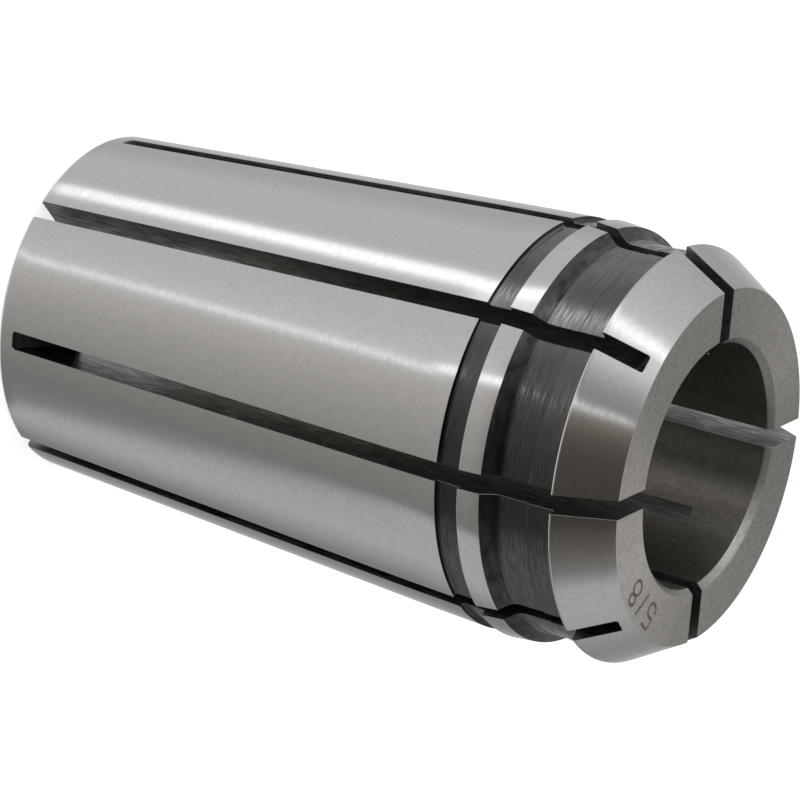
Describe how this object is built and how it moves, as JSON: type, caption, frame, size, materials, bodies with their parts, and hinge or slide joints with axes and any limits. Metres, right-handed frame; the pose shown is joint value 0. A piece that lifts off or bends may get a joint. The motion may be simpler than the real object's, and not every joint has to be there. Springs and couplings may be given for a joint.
{
  "type": "single angle collet",
  "caption": "Slotted steel collet with a single long seating taper, a grooved front land, a conical nose and a through bore that closes on a tool shank.",
  "frame": {"origin": "centre of the small rear face, on the bore axis", "axes": "+Z along the bore axis from the rear face to the nose; +X through the middle of one of the slots sawn from the nose"},
  "size_m": [0.0272, 0.0272, 0.0472],
  "materials": {
    "ground_steel": "ground"
  },
  "bodies": {
    "root": {"collet": "ground_steel"}
  },
  "joints": []
}
